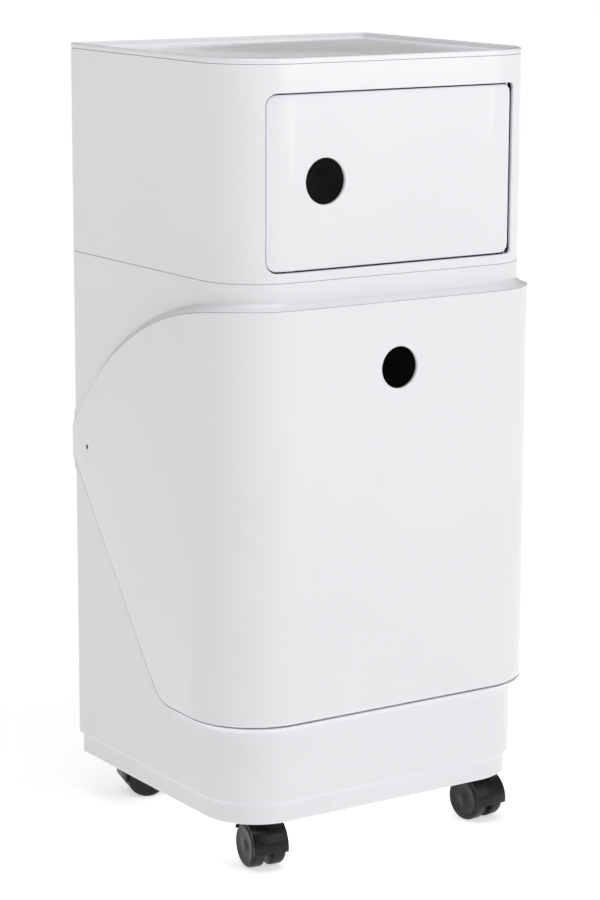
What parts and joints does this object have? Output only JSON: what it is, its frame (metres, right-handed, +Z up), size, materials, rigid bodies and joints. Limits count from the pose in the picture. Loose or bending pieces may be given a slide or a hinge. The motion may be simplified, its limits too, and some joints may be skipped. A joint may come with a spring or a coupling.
{
  "type": "wheeled storage cabinet",
  "caption": "White moulded-plastic storage cabinet on casters, with a side-hung door above and a wrap-round tilt-out bin below, each with a round finger hole, and a recessed tray top.",
  "frame": {"origin": "on the floor, at the middle of the overall plan including the bulged bin front", "axes": "+Z up; the front with the door and the bin faces -Y; +X is to the right of someone facing the front"},
  "size_m": [0.402, 0.343, 0.83],
  "materials": {
    "gloss_white_plastic": "high-gloss white injection-moulded ABS",
    "satin_light_grey_plastic": "satin light grey moulded plastic",
    "gloss_black_plastic": "semi-gloss black nylon",
    "wheel_black_plastic": "smooth hard black wheel plastic",
    "dark_nylon": "satin dark nylon",
    "zinc_steel": "zinc-plated steel"
  },
  "bodies": {
    "cabinet": {"top_tray": "gloss_white_plastic", "upper_case": "gloss_white_plastic", "lower_case": "gloss_white_plastic", "base_tray": "gloss_white_plastic", "door_bush_lower": "dark_nylon", "door_bush_upper": "dark_nylon", "door_catch": "satin_light_grey_plastic", "door_stop_lower": "satin_light_grey_plastic", "door_stop_upper": "satin_light_grey_plastic", "bin_hinge_bracket_left": "dark_nylon", "bin_hinge_bracket_right": "dark_nylon", "bin_hinge_pin_left": "zinc_steel", "bin_hinge_pin_right": "zinc_steel", "bracket_screw_left_1": "zinc_steel", "bracket_screw_left_2": "zinc_steel", "bracket_screw_right_1": "zinc_steel", "bracket_screw_right_2": "zinc_steel", "base_screw_1": "zinc_steel", "base_screw_2": "zinc_steel", "base_screw_3": "zinc_steel", "base_screw_4": "zinc_steel", "caster_front_left_socket": "gloss_black_plastic", "caster_front_right_socket": "gloss_black_plastic", "caster_rear_left_socket": "gloss_black_plastic", "caster_rear_right_socket": "gloss_black_plastic"},
    "door": {"door_panel": "gloss_white_plastic", "door_pin_lower": "zinc_steel", "door_pin_upper": "zinc_steel"},
    "bin": {"bin_front": "gloss_white_plastic", "bin_bucket": "satin_light_grey_plastic", "bin_stop_pin_left": "dark_nylon", "bin_stop_pin_right": "dark_nylon", "bucket_screw_lower_left": "zinc_steel", "bucket_screw_upper_left": "zinc_steel", "bucket_screw_lower_right": "zinc_steel", "bucket_screw_upper_right": "zinc_steel"},
    "caster_front_left": {"caster_front_left_hood": "gloss_black_plastic", "caster_front_left_stem": "zinc_steel", "caster_front_left_axle": "zinc_steel"},
    "wheel_front_left_left": {"caster_front_left_wheel_left": "wheel_black_plastic"},
    "wheel_front_left_right": {"caster_front_left_wheel_right": "wheel_black_plastic"},
    "caster_front_right": {"caster_front_right_hood": "gloss_black_plastic", "caster_front_right_stem": "zinc_steel", "caster_front_right_axle": "zinc_steel"},
    "wheel_front_right_left": {"caster_front_right_wheel_left": "wheel_black_plastic"},
    "wheel_front_right_right": {"caster_front_right_wheel_right": "wheel_black_plastic"},
    "caster_rear_left": {"caster_rear_left_hood": "gloss_black_plastic", "caster_rear_left_stem": "zinc_steel", "caster_rear_left_axle": "zinc_steel"},
    "wheel_rear_left_left": {"caster_rear_left_wheel_left": "wheel_black_plastic"},
    "wheel_rear_left_right": {"caster_rear_left_wheel_right": "wheel_black_plastic"},
    "caster_rear_right": {"caster_rear_right_hood": "gloss_black_plastic", "caster_rear_right_stem": "zinc_steel", "caster_rear_right_axle": "zinc_steel"},
    "wheel_rear_right_left": {"caster_rear_right_wheel_left": "wheel_black_plastic"},
    "wheel_rear_right_right": {"caster_rear_right_wheel_right": "wheel_black_plastic"}
  },
  "joints": [
    {"name": "door_hinge", "type": "hinge", "parent": "cabinet", "child": "door", "pos_m": [0.1445, -0.151, 0.708], "axis": [0, 0, 1], "range_deg": [0, 95]},
    {"name": "bin_tilt", "type": "hinge", "parent": "cabinet", "child": "bin", "pos_m": [0, -0.166, 0.1645], "axis": [1, 0, 0], "range_deg": [0, 32]},
    {"name": "caster_front_left_swivel", "type": "hinge", "parent": "cabinet", "child": "caster_front_left", "pos_m": [-0.1368, -0.1126, 0.0235], "axis": [0, 0, 1], "continuous": true},
    {"name": "caster_front_left_spin_left", "type": "hinge", "parent": "caster_front_left", "child": "wheel_front_left_left", "pos_m": [-0.13903, -0.12844, 0.0235], "axis": [0.9903, -0.1392, 0], "continuous": true},
    {"name": "caster_front_left_spin_right", "type": "hinge", "parent": "caster_front_left", "child": "wheel_front_left_right", "pos_m": [-0.13903, -0.12844, 0.0235], "axis": [0.9903, -0.1392, 0], "continuous": true},
    {"name": "caster_front_right_swivel", "type": "hinge", "parent": "cabinet", "child": "caster_front_right", "pos_m": [0.1368, -0.1126, 0.0235], "axis": [0, 0, 1], "continuous": true},
    {"name": "caster_front_right_spin_left", "type": "hinge", "parent": "caster_front_right", "child": "wheel_front_right_left", "pos_m": [0.13819, -0.12854, 0.0235], "axis": [0.9962, 0.0872, 0], "continuous": true},
    {"name": "caster_front_right_spin_right", "type": "hinge", "parent": "caster_front_right", "child": "wheel_front_right_right", "pos_m": [0.13819, -0.12854, 0.0235], "axis": [0.9962, 0.0872, 0], "continuous": true},
    {"name": "caster_rear_left_swivel", "type": "hinge", "parent": "cabinet", "child": "caster_rear_left", "pos_m": [-0.108, 0.133, 0.0235], "axis": [0, 0, 1], "continuous": true},
    {"name": "caster_rear_left_spin_left", "type": "hinge", "parent": "caster_rear_left", "child": "wheel_rear_left_left", "pos_m": [-0.12345, 0.13714, 0.0235], "axis": [-0.2588, -0.9659, 0], "continuous": true},
    {"name": "caster_rear_left_spin_right", "type": "hinge", "parent": "caster_rear_left", "child": "wheel_rear_left_right", "pos_m": [-0.12345, 0.13714, 0.0235], "axis": [-0.2588, -0.9659, 0], "continuous": true},
    {"name": "caster_rear_right_swivel", "type": "hinge", "parent": "cabinet", "child": "caster_rear_right", "pos_m": [0.108, 0.133, 0.0235], "axis": [0, 0, 1], "continuous": true},
    {"name": "caster_rear_right_spin_left", "type": "hinge", "parent": "caster_rear_right", "child": "wheel_rear_right_left", "pos_m": [0.12376, 0.13022, 0.0235], "axis": [0.1736, 0.9848, 0], "continuous": true},
    {"name": "caster_rear_right_spin_right", "type": "hinge", "parent": "caster_rear_right", "child": "wheel_rear_right_right", "pos_m": [0.12376, 0.13022, 0.0235], "axis": [0.1736, 0.9848, 0], "continuous": true}
  ]
}
